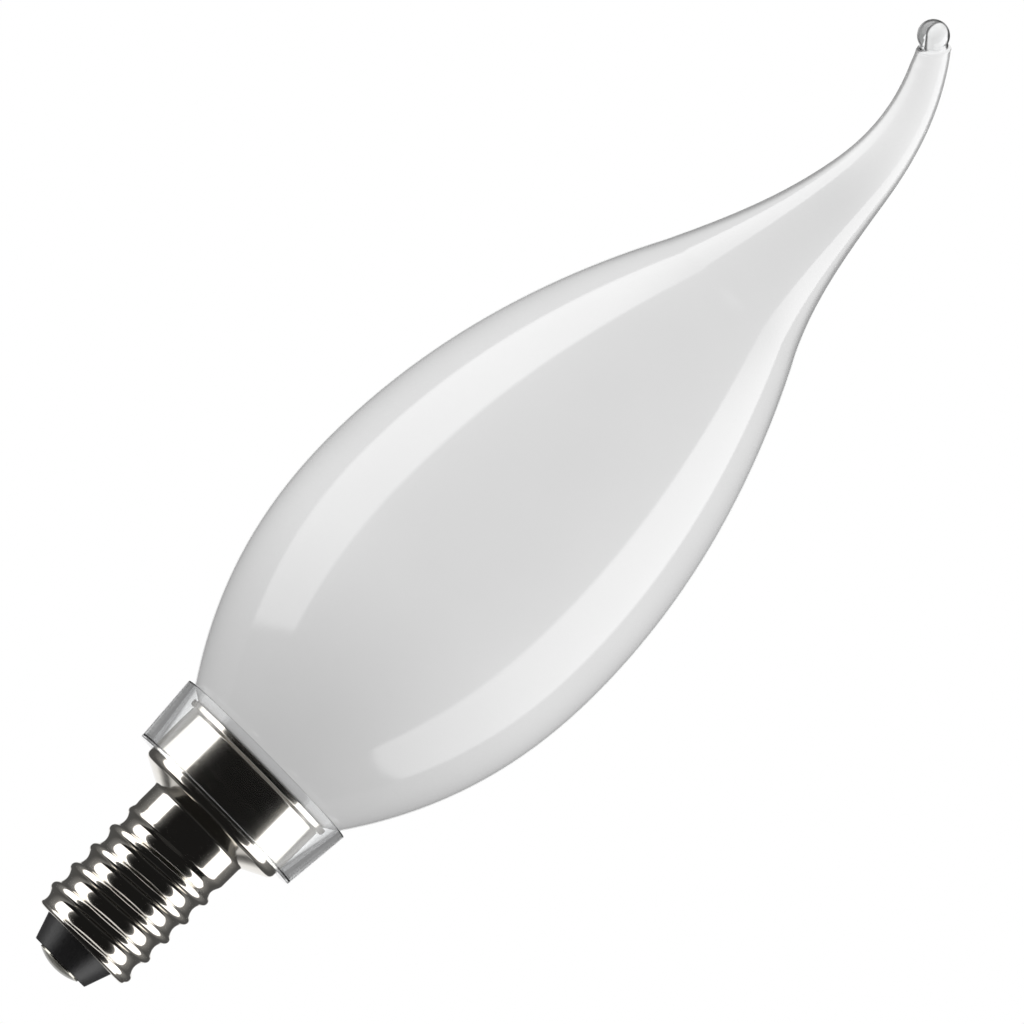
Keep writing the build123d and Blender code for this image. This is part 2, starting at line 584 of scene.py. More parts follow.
@dataclass(frozen=True)
class CoatedCore:
    """Matt white coating that ends inside the bead, with painted shade along its outline as seen from the
    camera.

    Attributes:
        pale: brightest grey.
        shade: grey of its thin places.
        thin: pattern of the thin places.
        painted_edge_shade: grey of the painted shade along its outline.
        side: direction from the camera towards the bulb.
        painted_edge_shade_limits: how squarely a place faces along that direction where the painted shade
            is darkest, and where it ends.
        roughness: roughness of the coating.
    """

    pale: float = 0.95
    shade: float = 0.90
    thin: Grain = Grain(900, 3)
    painted_edge_shade: float = 0.13
    side: Triple = (0.59, 0.80, 0.08)
    painted_edge_shade_limits: Limits = (0.25, 0.52)
    roughness: float = 0.6

    def material(self) -> bpy.types.Material:
        """Coated core material.

        Returns:
            The material.
        """
        material = bpy.data.materials.new("coated_core")
        tree = NodeTree(material)
        # Painted shade: the core darkens where it turns edge on to the camera's line of sight
        normal = tree.add("TexCoord").outputs["Normal"]
        faces = tree.add("VectorMath", {0: normal, 1: self.side}, operation="DOT_PRODUCT").outputs["Value"]
        beside = tree.eased(tree.calc("ABSOLUTE", faces), *self.painted_edge_shade_limits)
        white = tree.blend(tree.noise(self.thin), rgba(self.shade), rgba(self.pale))
        tree.finish(tree.add("BsdfPrincipled", {
            "Base Color": tree.blend(beside, rgba(self.painted_edge_shade), white),
            "Roughness": self.roughness,
        }))
        return material


@dataclass(frozen=True)
class ClearPlastic:
    """Moulded clear plastic with faint flow ripples.

    Attributes:
        tint: colour of the plastic.
        ripple: flow ripples.
        roughness: roughness of the surface.
        ior: index of refraction.
    """

    tint: Triple = (0.96, 0.965, 0.97)
    ripple: Grain = Grain(350, 3, (1, 1, 0.3), 0.006)
    roughness: float = 0.03
    ior: float = 1.5

    def material(self) -> bpy.types.Material:
        """Clear plastic material.

        Returns:
            The material.
        """
        material = bpy.data.materials.new("clear_plastic")
        tree = NodeTree(material)
        tree.finish(tree.add("BsdfPrincipled", {
            "Base Color": rgba(*self.tint),
            "Roughness": self.roughness,
            "IOR": self.ior,
            "Transmission Weight": 1.0,
            "Normal": tree.relief(self.ripple),
        }))
        return material


@dataclass(frozen=True)
class NickelPlate:
    """Bright nickel on drawn sheet: fine rolling marks round the axis and a little warm tarnish.

    Attributes:
        bright: colour of clean nickel.
        warm: colour where it has tarnished.
        tarnish: pattern of the tarnish.
        rolling: rolling marks.
        roughness: least and greatest roughness.
    """

    bright: Triple = (0.80, 0.775, 0.73)
    warm: Triple = (0.70, 0.655, 0.58)
    tarnish: Grain = Grain(220, 4, (1, 1, 2))
    rolling: Grain = Grain(900, 2, (0.15, 0.15, 3), 0.0008)
    roughness: Limits = (0.06, 0.15)

    def material(self) -> bpy.types.Material:
        """Nickel plate material.

        Returns:
            The material.
        """
        material = bpy.data.materials.new("nickel_plate")
        tree = NodeTree(material)
        rolling = tree.noise(self.rolling)
        tree.finish(tree.add("BsdfPrincipled", {
            "Base Color": tree.blend(tree.noise(self.tarnish), rgba(*self.bright), rgba(*self.warm)),
            "Metallic": 1.0,
            "Roughness": tree.between(rolling, *self.roughness),
            "Normal": tree.bump(rolling, self.rolling.depth),
        }))
        return material


@dataclass(frozen=True)
class BlackInsulator:
    """Satin black moulding with a fine grain and faint vertical flow lines.

    Attributes:
        dark: darkest colour.
        grey: colour of the flow lines.
        flow: pattern of the flow lines.
        grain: grain of the surface.
        roughness: roughness of the dark parts, and of the flow lines.
        gloss: specular level.
    """

    dark: Triple = (0.004, 0.004, 0.005)
    grey: Triple = (0.016, 0.0155, 0.016)
    flow: Grain = Grain(600, 3, (1, 1, 0.2))
    grain: Grain = Grain(6000, 2, depth=0.01)
    roughness: Limits = (0.34, 0.46)
    gloss: float = 0.9

    def material(self) -> bpy.types.Material:
        """Black insulator material.

        Returns:
            The material.
        """
        material = bpy.data.materials.new("black_insulator")
        tree = NodeTree(material)
        flow = tree.noise(self.flow)
        tree.finish(tree.add("BsdfPrincipled", {
            "Base Color": tree.blend(flow, rgba(*self.dark), rgba(*self.grey)),
            "Roughness": tree.between(flow, *self.roughness),
            "Specular IOR Level": self.gloss,
            "Normal": tree.relief(self.grain),
        }))
        return material


@dataclass(frozen=True)
class ContactMetal:
    """Plated contact: bright at its rim, and dark on the dome, with small rubbed places.

    Attributes:
        rim: colour of the clean rim.
        dome: colour of the dark dome.
        rubbed: colour of its rubbed places.
        wear: pattern of the rubbed places.
        roughness: roughness of the dark dome, and of the rubbed places.
    """

    rim: Triple = (0.62, 0.60, 0.53)
    dome: Triple = (0.08, 0.078, 0.06)
    rubbed: Triple = (0.16, 0.155, 0.125)
    wear: Grain = Grain(1500, 4, depth=0.004)
    roughness: Limits = (0.126, 0.288)

    def material(self, dome: float, rim: float) -> bpy.types.Material:
        """Contact metal material.

        Args:
            dome: height in millimetres up to which it is dark.
            rim: height in millimetres above which it is clean.

        Returns:
            The material.
        """
        material = bpy.data.materials.new("contact_metal")
        tree = NodeTree(material)
        wear = tree.noise(self.wear)
        # Dark colour of the dome, with lighter rubbed places
        tarnish = tree.blend(wear, rgba(*self.dome), rgba(*self.rubbed))
        tree.finish(tree.add("BsdfPrincipled", {
            "Base Color": tree.blend(tree.height(dome, rim), tarnish, rgba(*self.rim)),
            "Metallic": 1.0,
            "Roughness": tree.between(wear, *self.roughness),
            "Normal": tree.bump(wear, self.wear.depth),
        }))
        return material


# Pieces of the bulb

@dataclass
class GlassEnvelope:
    """Flame-shaped glass on a straight axis, drawn out to a bent tip that a clear bead seals.

    Rises are heights above the mouth of the collar, slopes and leans are changes with height, and sizes are
    in millimetres. Walls are thicknesses of the clear wall, where 1 is that on the inside of the bend.

    Attributes:
        end_length: height over which the end of the tube turns to its own lean.
        lit_rise: rise above which the coating has no painted neck shade.
        drawn_rise: rise where the tip's painted brightening and lower gloss start.
        tube_rise: rise above which they are full.
        thin_wall: wall on the body.
        outer_wall: wall on the outside of the bend.
        thick_rise: rises between which the wall goes from the one to the other.
        bend_rise: rises between which it thickens further on the inside of the bend.
        end_wall: wall at the thick place on the end of the tube.
        end_turn: angle of that place about the tube, in degrees.
        end_limits: how squarely a place faces that way where the thick place starts, and where it is full.
        end_rows: rows of points on the end of the tube, where the wall has melted.
        foot_pole: radius of the last circle at the end of the neck.
        end_pole: radius of the last circle at the end of the tube.
        neck_steps: points on the arc at the end of the neck.
        neck_run: longest part of a straight run of the neck.
        end_steps: points on the arc at the end of the tube.
        bend_rows: rows of points over the end length.
        rows: rows of points from the neck to there.
        columns: points on each circle.
    """

    neck_radius: float = 7.6
    neck_length: float = 3.8
    neck_fillet: float = 0.8
    mouth_radius: float = 9.6
    mouth_slope: float = 0.686
    belly_rise: float = 25.9
    shoulder_rise: float = 61.15
    shoulder_radius: float = 8.5
    shoulder_slope: float = -0.512
    tip_rise: float = 91.8
    tip_radius: float = 1.65
    tip_slope: float = -0.09
    tip_fillet: float = 0.2
    lean_rise: float = 77.75
    lean_offset: float = 0.65
    tip_offset: float = -4.43
    tip_lean: float = -0.87
    end_lean: float = -1.5
    end_length: float = 1.9
    lit_rise: float = 22.0
    drawn_rise: float = 74.0
    tube_rise: float = 85.0
    thin_wall: float = 0.47
    outer_wall: float = 0.82
    thick_rise: Limits = (40.0, 90.0)
    bend_rise: Limits = (78.0, 94.0)
    end_wall: float = 1.4
    end_turn: float = 160.0
    end_limits: Limits = (0.55, 0.95)
    end_rows: int = 5
    foot_pole: float = 0.5
    end_pole: float = 0.2
    neck_steps: int = 8
    neck_run: float = 0.8
    end_steps: int = 7
    bend_rows: int = 14
    rows: int = 240
    columns: int = 160

    def __post_init__(self) -> None:
        """Works out the heights and stations from the frame."""
        self.foot = Node.GLASS.low()
        self.mouth = Node.COLLAR.high()
        self.neck_top = self.foot + self.neck_length
        self.tip = self.mouth + self.tip_rise
        shoulder = self.mouth + self.shoulder_rise
        self.outline = np.array([
            (self.neck_top, self.neck_radius, 0),
            (self.mouth, self.mouth_radius, self.mouth_slope),
            (self.mouth + self.belly_rise, Node.GLASS.radius(), 0),
            (shoulder, self.shoulder_radius, self.shoulder_slope),
            (self.tip, self.tip_radius, self.tip_slope),
        ])
        self.middle = np.array([
            (self.foot, 0, 0),
            (shoulder, 0, 0),
            (self.mouth + self.lean_rise, self.lean_offset, 0),
            (self.tip, self.tip_offset, self.tip_lean),
        ])

    def radius_at(self, heights: np.ndarray) -> np.ndarray:
        """Radius of the glass at heights above its neck."""
        return hermite(self.outline, heights)[0]

    def sections(self, place: np.ndarray, lean: np.ndarray, radius: np.ndarray) -> np.ndarray:
        """Circles square to the glass's middle line.

        Each circle is its centre, plus its radius times the cosine of the angle along the line's own
        sideways direction, plus its radius times the sine along Y.

        Args:
            place: X and Z of each centre.
            lean: change of X with height of the middle line there.
            radius: radius of each circle.

        Returns:
            Grid of points, rows by columns.
        """
        angles = angles_round(self.columns)
        across = radius[:, None] * np.cos(angles) / np.sqrt(1 + lean * lean)[:, None]
        return np.stack([
            place[:, :1] + across,
            radius[:, None] * np.sin(angles),
            place[:, 1:] - across * lean[:, None],
        ], axis=-1)

    def end_sections(self, outline: np.ndarray) -> np.ndarray:
        """Circles at distances along the end of the bent tip.

        Args:
            outline: points of radius and distance beyond the end of the tube.

        Returns:
            Grid of points, rows by columns.
        """
        along = np.array([self.end_lean, 1.0]) / math.hypot(self.end_lean, 1.0)
        place = np.array([self.tip_offset, self.tip]) + outline[:, 1:] * along
        return self.sections(place, np.full(len(outline), self.end_lean), outline[:, 0])

    def body(self) -> Shell:
        """Coated glass from the end of the neck to the end of the tube.

        Its circles follow the two curves of radius and middle line, and over the last of the tube their
        lean eases from that of the middle line to that of the end.

        Returns:
            The shell, closed at both ends.
        """
        neck = rounded(
            [(self.foot_pole, self.foot), (self.neck_radius, self.foot), (self.neck_radius, self.neck_top)],
            [self.neck_fillet], self.neck_steps, closed=False)
        neck = divided(neck, self.neck_run, closed=False)[:-1]
        bend = self.tip - self.end_length
        heights = np.concatenate([
            np.linspace(self.neck_top, bend, self.rows)[:-1],
            np.linspace(bend, self.tip - self.tip_fillet, self.bend_rows),
        ])
        centre, lean = hermite(self.middle, heights)
        lean = lean + (self.end_lean - lean) * eased(heights, bend, self.tip)
        end = rounded(
            [(self.tip_radius, -self.tip_fillet), (self.tip_radius, 0), (self.end_pole, 0)],
            [self.tip_fillet], self.end_steps, closed=False)[1:]
        return Shell(np.concatenate([
            turned(neck, self.columns),
            self.sections(np.stack([centre, heights], axis=1), lean, self.radius_at(heights)),
            self.end_sections(end),
        ]), Ends.POLES)

    def wall_thickness(self, shell: Shell) -> np.ndarray:
        """Thickness of the clear wall at each point of the glass.

        It is thin on the body, rises along the drawn-out tip, and rises further on the inside of the bend,
        at -X. On the end of the tube it has melted away but for a thick place on the inside of the bend.

        Args:
            shell: the glass.

        Returns:
            Thickness, one number for each point.
        """
        rise = shell.grid[..., 2].mean(axis=1, keepdims=True) - self.mouth
        angles = angles_round(self.columns)
        inside = (1 - self.outer_wall) * (1 - np.cos(angles)) / 2
        drawn = (self.outer_wall - self.thin_wall) * eased(rise, *self.thick_rise)
        thickness = self.thin_wall + drawn + inside * eased(rise, *self.bend_rise)
        faces = np.cos(angles - math.radians(self.end_turn))
        thickness[-self.end_rows:] = self.end_wall * eased(faces, *self.end_limits)
        return np.append(thickness, [0, 0])

    def build(self) -> None:
        """Makes the glass and dresses it."""
        lit, drawn, tube = (self.mouth + rise for rise in (self.lit_rise, self.drawn_rise, self.tube_rise))
        shell = self.body()
        piece = make_piece("glass_flame", [shell], [WhiteGlass().material(self.neck_top, lit, drawn, tube)])
        give_attribute(piece, WALL, self.wall_thickness(shell))
        seat_piece(piece, Node.GLASS)


@dataclass
class TipBead:
    """Clear drop that seals the bent tip, with the end of the white coating in it. Sizes in millimetres.

    Attributes:
        glass: the glass that it seals.
        radius: radius of the drop.
        neck_radius: radius of the short neck behind it.
        reach: distance of the drop's middle beyond the end of the tube.
        root: depth of the neck in the tube.
        core_radius: radius of the white core.
        core_offset: distance of the core from the drop's middle line at the end of the tube.
        core_lean: how much further it has leaned at the drop's middle.
        drop_pole: radius of the last circle at the root of the drop.
        core_pole: radius of the last circle at the root of the core.
        drop_rows: points on the arc of the drop.
        core_rows: points on the arc of the core.
    """

    glass: GlassEnvelope
    radius: float = 1.568
    neck_radius: float = 1.39
    reach: float = 1.2
    root: float = 0.4
    core_radius: float = 0.78
    core_offset: float = 0.23
    core_lean: float = 0.14
    drop_pole: float = 0.3
    core_pole: float = 0.2
    drop_rows: int = 48
    core_rows: int = 24

    def dome(self, radius: float, start: float, rows: int) -> np.ndarray:
        """Arc about the drop's middle, up to its far end.

        Args:
            radius: radius of the arc.
            start: angle in radians at which it starts.
            rows: points on it, the far end included, which is left to the pole.

        Returns:
            Points of radius and distance beyond the end of the tube.
        """
        angles = np.linspace(start, math.pi / 2, rows)[:-1]
        return np.stack([radius * np.cos(angles), self.reach + radius * np.sin(angles)], axis=1)

    def drop(self) -> Shell:
        """Clear drop on a short neck that is rooted in the end of the tube.

        Returns:
            The shell, closed at both ends.
        """
        rise = math.sqrt(self.radius ** 2 - self.neck_radius ** 2)
        ball = self.dome(self.radius, math.atan2(-rise, self.neck_radius), self.drop_rows)
        root = [(self.drop_pole, -self.root), (self.neck_radius, -self.root), (self.neck_radius, 0.0)]
        return Shell(self.glass.end_sections(np.concatenate([root, ball])), Ends.POLES)

    def core(self) -> Shell:
        """White end of the coated bore: a round bar with a domed end.

        It leans to the drop's outer side by the square of the distance beyond the end of the tube.

        Returns:
            The shell, closed at both ends.
        """
        foot = -self.root / 2
        dome = self.dome(self.core_radius, 0.0, self.core_rows)
        outline = np.concatenate([[(self.core_pole, foot), (self.core_radius, foot)], dome])
        lean = self.glass.end_lean
        across = np.array([1.0, 0.0, -lean]) / math.hypot(1.0, lean)
        shift = self.core_offset + self.core_lean * (outline[:, 1] / self.reach) ** 2
        return Shell(self.glass.end_sections(outline) + across * shift[:, None, None], Ends.POLES)

    def build(self) -> None:
        """Makes the bead and dresses it."""
        finishes = [ClearGlass().material(), CoatedCore().material()]
        piece = make_piece("tip_bead", [self.drop(), self.core()], finishes)
        let_light_through(piece)
        seat_piece(piece, Node.GLASS)


@dataclass
class ClearCollar:
    """Thin clear ring that stands clear of the cup and closes on the glass. Sizes in millimetres.

    Attributes:
        glass: the glass that it closes on.
        wall: thickness of its wall at the foot.
        foot_bore: radius of the foot's bore.
        foot_height: height of the foot.
        taper: how much its radius grows from the foot to the mouth.
        clearance: gap to the glass.
        edge: radius of its edges.
        edge_steps: points on each edge.
        longest_run: longest part of a straight run.
        columns: points on each circle.
    """

    glass: GlassEnvelope
    wall: float = 1.0
    foot_bore: float = 8.35
    foot_height: float = 0.4
    taper: float = 0.58
    clearance: float = 0.08
    edge: float = 0.07
    edge_steps: int = 5
    longest_run: float = 0.5
    columns: int = 192

    def outline(self) -> np.ndarray:
        """Closed section of the ring: a foot, and tapered walls up to the glass.

        Returns:
            Points of radius and height.
        """
        low, high = Node.COLLAR.low(), Node.COLLAR.high()
        outer = Node.COLLAR.radius()
        mouth = float(self.glass.radius_at(np.array([high]))[0]) + self.clearance
        foot = low + self.foot_height
        corners = [
            (self.foot_bore, low),
            (outer - self.taper, low),
            (outer, high),
            (mouth, high),
            (outer - self.wall - self.taper, foot),
            (self.foot_bore, foot),
        ]
        edges = rounded(corners, [self.edge] * len(corners), self.edge_steps, closed=True)
        return divided(edges, self.longest_run, closed=True)

    def build(self) -> None:
        """Makes the ring and dresses it."""
        shell = Shell(turned(self.outline(), self.columns), Ends.LOOP)
        piece = make_piece("collar_ring", [shell], [ClearPlastic().material()])
        let_light_through(piece)
        seat_piece(piece, Node.COLLAR)


@dataclass
class ScrewCap:
    """Shell of drawn sheet: turned-in lip, rolled thread, plain band, cone and cup with a curled rim.

    Sizes are in millimetres, and angles in degrees.

    Attributes:
        sheet: thickness of the sheet.
        thread_depth: depth of the thread from crest to root.
        run_out: height over which the thread fades into the band.
        start_angle: angle of the crest about the axis at the lip.
        crest_round: radius of the round crest.
        root_round: radius of the round root.
        flank_angle: angle of the flanks to the axis.
        section_steps: points on each arc of the thread's section.
        wall_steps: points on each arc of the wall.
        wall_run: longest part of a straight run of the wall.
        inside_run: longest part of a straight run inside the barrel.
        lip_rows: points on the edge of the lip.
        rows: rows of points on the thread.
        columns: points on each circle.
    """

    sheet: float = 0.3
    crest_radius: float = 5.8
    thread_depth: float = 0.59
    pitch: float = 2.54
    thread_length: float = 13.4
    run_out: float = 1.7
    start_angle: float = 204.0
    crest_round: float = 0.56
    root_round: float = 1.10
    flank_angle: float = 49.5
    lip_bore: float = 4.21
    lip_radius: float = 0.35
    bore: float = 4.8
    band_radius: float = 5.62
    band_length: float = 2.15
    band_fillet: float = 0.45
    cone_rise: float = 1.35
    cup_radius: float = 8.27
    cup_height: float = 6.6
    cup_fillet: float = 0.7
    rim_length: float = 0.75
    rim_fillet: float = 0.15
    curl_radius: float = 8.7
    curl_length: float = 0.58
    curl_fillet: float = 0.25
    section_steps: int = 24
    wall_steps: int = 12
    wall_run: float = 0.4
    inside_run: float = 1.5
    lip_rows: int = 8
    rows: int = 220
    columns: int = 216

    def __post_init__(self) -> None:
        """Works out the heights from the frame."""
        self.lip = Node.CAP.low()
        self.thread_top = self.lip + self.thread_length
        self.band_top = self.thread_top + self.band_length
        self.cup = self.band_top + self.cone_rise
        self.rim = self.cup + self.cup_height

    def section(self) -> np.ndarray:
        """Half of a turn's section, from the middle of its crest to the middle of its root.

        It is a round crest, a straight flank and a round root on the plain core.

        Returns:
            Points of distance along the axis and radius.
        """
        angle = math.radians(self.flank_angle)
        crest, root = self.crest_radius, self.crest_radius - self.thread_depth
        flat = self.crest_round * math.tan(angle / 2)
        foot = flat + self.thread_depth / math.tan(angle)
        corners = [(0.0, crest), (flat, crest), (foot, root), (self.pitch / 2, root)]
        return rounded(corners, [self.crest_round, self.root_round], self.section_steps, closed=False)

    def thread(self, heights: np.ndarray) -> np.ndarray:
        """Radius of the rolled thread round the axis.

        The crest goes once round the axis in a pitch, and the angle from the crest, as a share of a turn
        of the pitch, is the distance along the section. Over the run-out the thread fades into the band.

        Args:
            heights: heights of the sections.

        Returns:
            Radii, heights by columns.
        """
        share = 1 - eased(heights, self.thread_top - self.run_out, self.thread_top)[:, None]
        crest = math.radians(self.start_angle) + math.tau * (heights - self.lip)[:, None] / self.pitch
        turn = np.abs((angles_round(self.columns) - crest + math.pi) % math.tau - math.pi)
        distance, radius = self.section().T
        rolled = np.interp(turn * self.pitch / math.tau, distance, radius)
        return self.band_radius + (rolled - self.band_radius) * share

    def barrel(self) -> np.ndarray:
        """Outside of the barrel from the bore of its lip to the top of the thread.

        The lip's edge is a quarter of a circle: it rises by its radius times one minus the cosine of the
        angle, and comes out by its radius times the sine.

        Returns:
            Grid of points, rows by columns.
        """
        angle = np.linspace(0, math.pi / 2, self.lip_rows)[:, None]
        lip_heights = self.lip + self.lip_radius * (1 - np.cos(angle[:, 0]))
        lip = self.thread(lip_heights[-1:]) - self.lip_radius * (1 - np.sin(angle))
        flat = self.lip_bore + (lip[:1] - self.lip_bore) * np.array([[0.0], [0.5]])
        thread_heights = np.linspace(self.lip + self.lip_radius, self.thread_top, self.rows)[1:]
        radii = np.concatenate([flat, lip, self.thread(thread_heights)])
        heights = np.concatenate([[self.lip] * len(flat), lip_heights, thread_heights])
        return rings(radii, heights[:, None], self.columns)

    def wall(self, inset: float) -> np.ndarray:
        """Side of the sheet from the top of the thread to the rim.

        Each corner moves inwards along the line that halves it, so that every run moves by the inset.

        Args:
            inset: distance inside the outer face.

        Returns:
            Points of radius and height, rising.
        """
        corners = np.array([
            (self.band_radius, self.thread_top),
            (self.band_radius, self.band_top),
            (self.cup_radius, self.cup),
            (self.cup_radius, self.rim - self.rim_length),
            (self.curl_radius, self.rim - self.curl_length),
            (self.curl_radius, self.rim),
        ])
        runs = np.diff(corners, axis=0)
        runs /= np.linalg.norm(runs, axis=1)[:, None]
        left = np.stack([-runs[:, 1], runs[:, 0]], axis=1)
        bisector = left[:-1] + left[1:]
        bisector /= np.sum(bisector * left[1:], axis=1)[:, None]
        shift = np.concatenate([left[:1], bisector, left[-1:]])
        radii = [
            self.band_fillet + inset,
            self.cup_fillet - inset,
            self.rim_fillet + inset,
            max(0.0, self.curl_fillet - inset),
        ]
        side = rounded(corners + shift * inset, radii, self.wall_steps, closed=False)
        return divided(side, self.wall_run, closed=False)

    def build(self) -> None:
        """Makes the shell and dresses it."""
        seat = self.lip + self.sheet
        inside = np.array([(self.bore, self.thread_top), (self.bore, seat), (self.lip_bore, seat)])
        rest = np.concatenate([
            self.wall(0)[1:],
            self.wall(self.sheet)[::-1],
            divided(inside, self.inside_run, closed=False),
        ])
        shell = Shell(np.concatenate([self.barrel(), turned(rest, self.columns)]), Ends.LOOP)
        piece = make_piece("cap_shell", [shell], [NickelPlate().material()])
        seat_piece(piece, Node.CAP)


@dataclass
class Insulator:
    """Black cone that fills the end of the shell and carries the contact. Sizes are in millimetres."""

    end_radius: float = 3.25
    chamfer: float = 0.06
    mouth_radius: float = 4.13
    seat: float = 0.3
    bore: float = 1.28
    edge: float = 0.03
    edge_steps: int = 5
    longest_run: float = 0.4
    columns: int = 128

    def outline(self) -> np.ndarray:
        """Closed section of the cone, with soft edges at its end, and of its seat behind the shell's lip.

        Returns:
            Points of radius and height.
        """
        low, high = Node.INSULATOR.low(), Node.INSULATOR.high()
        seat_radius = Node.INSULATOR.radius()
        lip = Node.CAP.low()
        corners = [
            (self.bore, low),
            (self.end_radius - self.chamfer, low),
            (self.end_radius, low + self.chamfer),
            (self.mouth_radius, lip),
            (self.mouth_radius, lip + self.seat),
            (seat_radius, lip + self.seat),
            (seat_radius, high),
            (self.bore, high),
        ]
        edges = rounded(corners, [0, self.edge, self.edge, 0, 0, 0, 0, 0], self.edge_steps, closed=True)
        return divided(edges, self.longest_run, closed=True)

    def build(self) -> None:
        """Makes the cone and dresses it."""
        shell = Shell(turned(self.outline(), self.columns), Ends.LOOP)
        piece = make_piece("insulator_cone", [shell], [BlackInsulator().material()])
        seat_piece(piece, Node.INSULATOR)


@dataclass
class CentreContact:
    """Domed rivet through the insulator. Sizes are in millimetres.

    Attributes:
        edge: height of its straight edge.
        shank_radius: radius of the shank.
        rivet_radius: radius of the riveted head.
        head_pole: radius of the last circle on that head.
        dark_share: share of the dome's rise up to which it is fully dark.
        dome_rows: points on the dome's arc.
        longest_run: longest part of a straight run.
        columns: points on each circle.
    """

    edge: float = 0.15
    shank_radius: float = 1.2
    rivet_radius: float = 1.8
    head_pole: float = 0.3
    dark_share: float = 0.8
    dome_rows: int = 24
    longest_run: float = 0.5
    columns: int = 96

    def build(self) -> None:
        """Makes the rivet and dresses it.

        The dome is an arc that is level at the axis: its radius is the sum of the squares of the
        dome's radius and rise, divided by twice the rise.
        """
        radius = Node.CONTACT.radius()
        low, high = Node.CONTACT.low(), Node.CONTACT.high()
        seat, top = Node.INSULATOR.low(), Node.INSULATOR.high()
        rise = seat - self.edge - low
        sphere = (radius ** 2 + rise ** 2) / (2 * rise)
        angles = np.linspace(0, math.asin(radius / sphere), self.dome_rows)[1:]
        dome = np.stack([sphere * np.sin(angles), low + sphere * (1 - np.cos(angles))], axis=1)
        rest = [
            (radius, seat),
            (self.shank_radius, seat),
            (self.shank_radius, top),
            (self.rivet_radius, top),
            (self.rivet_radius, high),
            (self.head_pole, high),
        ]
        outline = divided(np.concatenate([dome, rest]), self.longest_run, closed=False)
        shell = Shell(turned(outline, self.columns), Ends.POLES)
        metal = ContactMetal().material(low + rise * self.dark_share, low + rise)
        piece = make_piece("contact_rivet", [shell], [metal])
        seat_piece(piece, Node.CONTACT)


# Studio

def towards(azimuth: float | np.ndarray, elevation: float | np.ndarray) -> np.ndarray:
    """Unit vectors towards azimuths, anticlockwise from -Y seen from above, and elevations, in degrees."""
    turn, rise = np.radians(azimuth), np.radians(elevation)
    return np.stack([np.sin(turn) * np.cos(rise), -np.cos(turn) * np.cos(rise), np.sin(rise)], axis=-1)


@dataclass(frozen=True)
class TentShade:
    """Brightness of the tent's plain parts, where 1 is white.

    Attributes:
        margin: brightness beside a strip.
        margin_width: degrees over which it stays.
        margin_fade: degrees over which it then falls to that of the rear.
        rear: brightness of the rear.
        ends: brightness overhead and underneath.
        foot: elevation in degrees under which it is underneath.
    """

    margin: float
    margin_width: float
    margin_fade: float
    rear: float
    ends: float
    foot: float


class TentView(Enum):
    """What shows the tent: a mirror, or a clear piece, which mixes in the pale room behind the tent."""

    MIRROR = TentShade(margin=0.24, margin_width=0.0, margin_fade=38.0, rear=0.09, ends=0.03, foot=-63.0)
    THROUGH = TentShade(margin=1.7, margin_width=12.0, margin_fade=5.0, rear=0.29, ends=0.35, foot=-42.0)


@dataclass(frozen=True)
class StripLight:
    """Tall strip light at one side, as seen from the bulb, in degrees.

    Attributes:
        inner: azimuth of its edge nearer to the camera, at the horizon.
        outer: azimuth of its other edge, at the horizon.
        foot_inner: elevation of its slanted foot at the inner edge.
        foot_outer: elevation of its foot at the outer edge.
        top: elevation of its top.
        inner_slant: azimuth that the inner edge gains with each degree of elevation.
        outer_slant: the same for the outer edge.
    """

    inner: float
    outer: float
    foot_inner: float
    foot_outer: float
    top: float = 62.0
    inner_slant: float = 0.11
    outer_slant: float = 0.22


